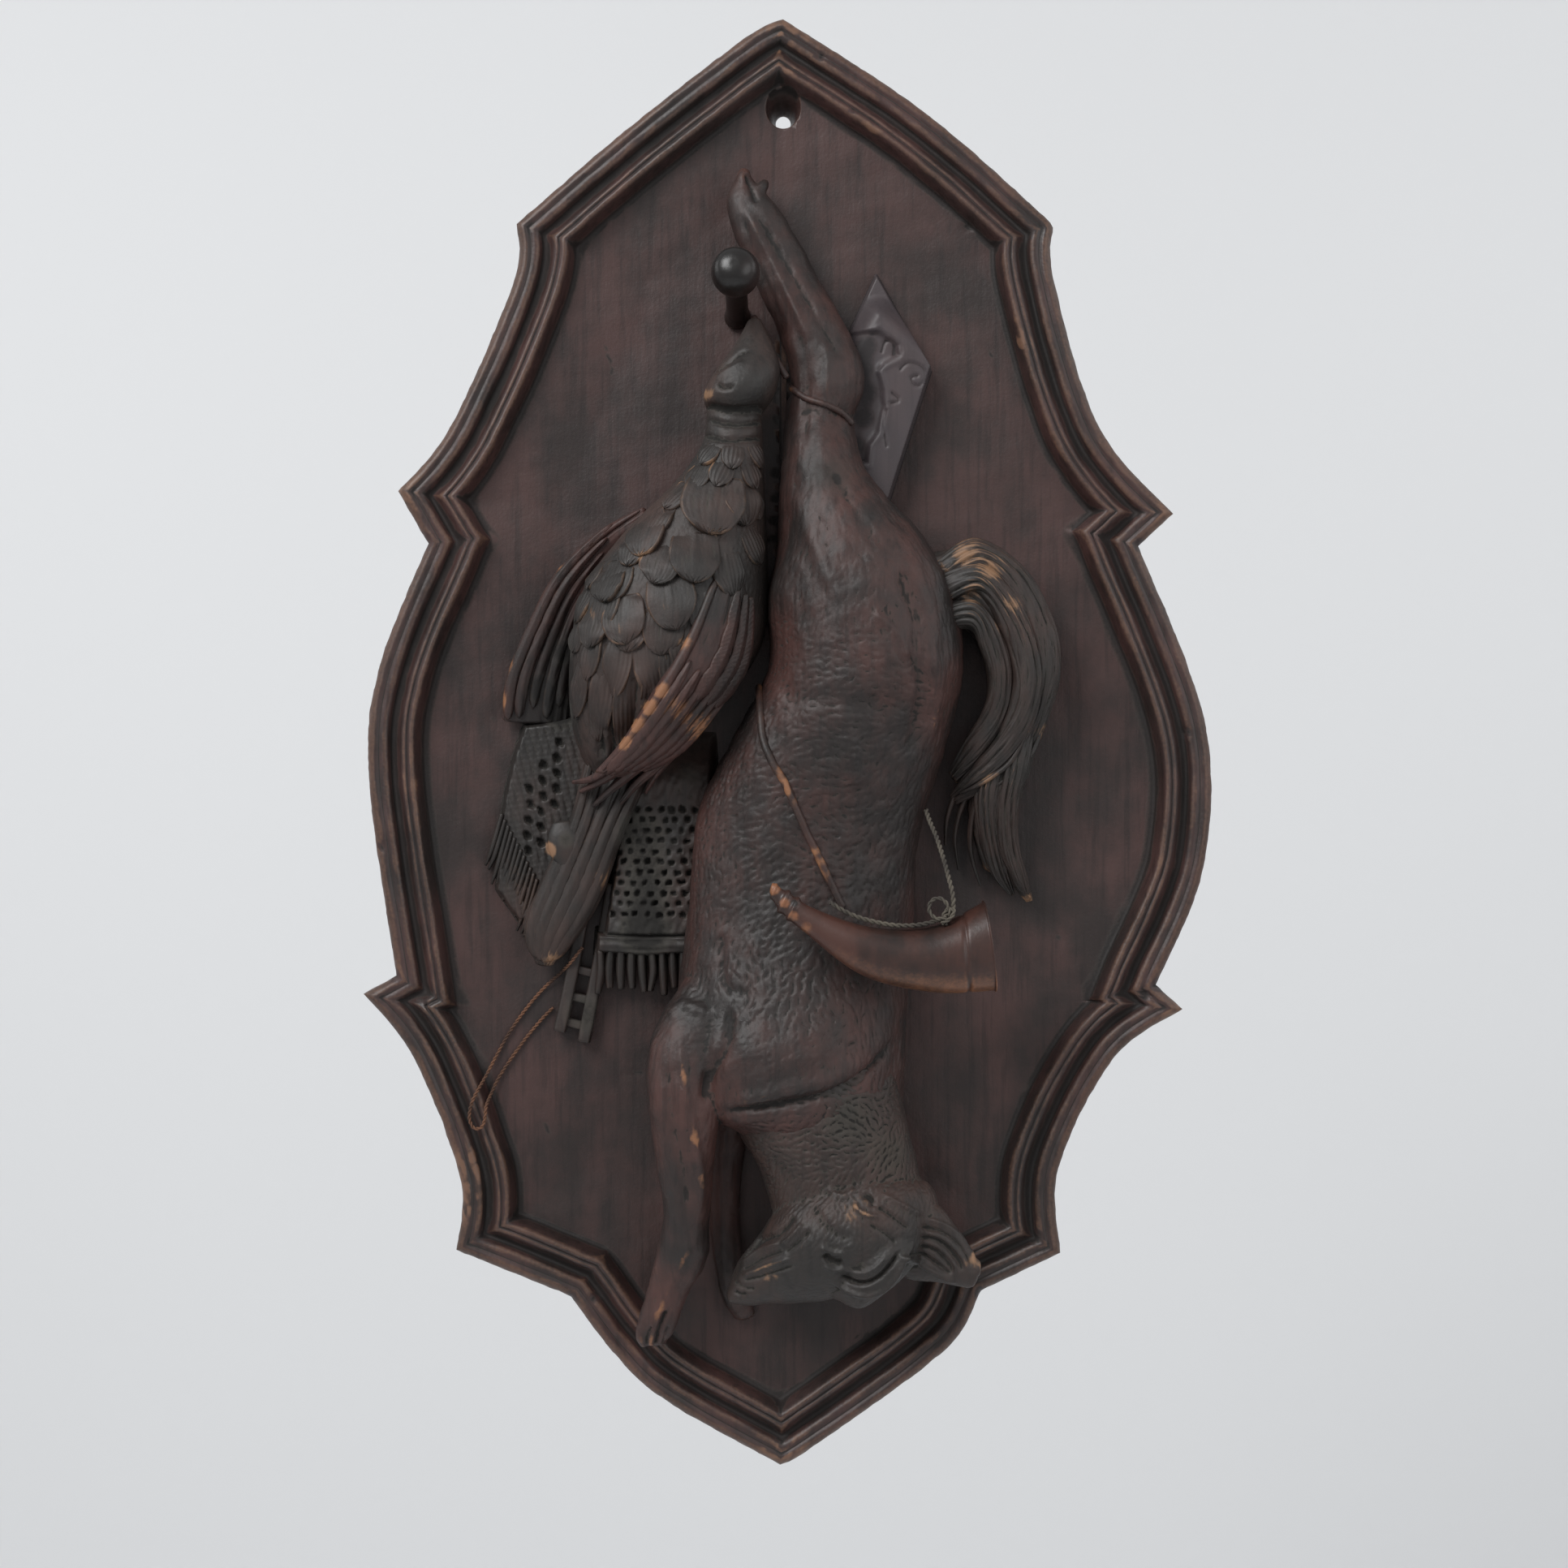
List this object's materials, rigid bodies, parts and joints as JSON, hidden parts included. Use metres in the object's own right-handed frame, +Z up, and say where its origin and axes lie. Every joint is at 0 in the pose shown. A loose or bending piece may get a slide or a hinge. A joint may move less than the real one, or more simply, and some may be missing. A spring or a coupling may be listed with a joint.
{
  "type": "carved wall plaque",
  "caption": "Carved wooden shield plaque: moulded board with a high-relief hunting trophy of a hanging fox, game bird, gun, game bag and horn, hung by a hole near the top.",
  "frame": {"origin": "on the flat back face, on the vertical centre line, 15 mm below the centre of the hanging hole", "axes": "+Z up the wall, +X to the viewer's right, the carved front faces -Y and the back lies in the plane y = 0"},
  "size_m": [0.2784, 0.0665, 0.4746],
  "materials": {
    "stained_board": "very dark brown stain with reddish undertones, waxed, worn lighter along the edges, dusty in the grooves",
    "stained_carving": "dark brown stain over tooled carving, waxed, orange wear on the crests",
    "polished_horn": "smooth polished reddish-brown stained wood",
    "turned_knob": "smooth dark polished turned wood",
    "twine": "thin twisted twine, matt and dusty"
  },
  "bodies": {
    "root": {"shield_board": "stained_board", "game_trophy": "stained_carving", "hunting_horn": "polished_horn", "peg_knob": "turned_knob", "horn_string": "twine", "gun_string": "twine"}
  },
  "joints": []
}
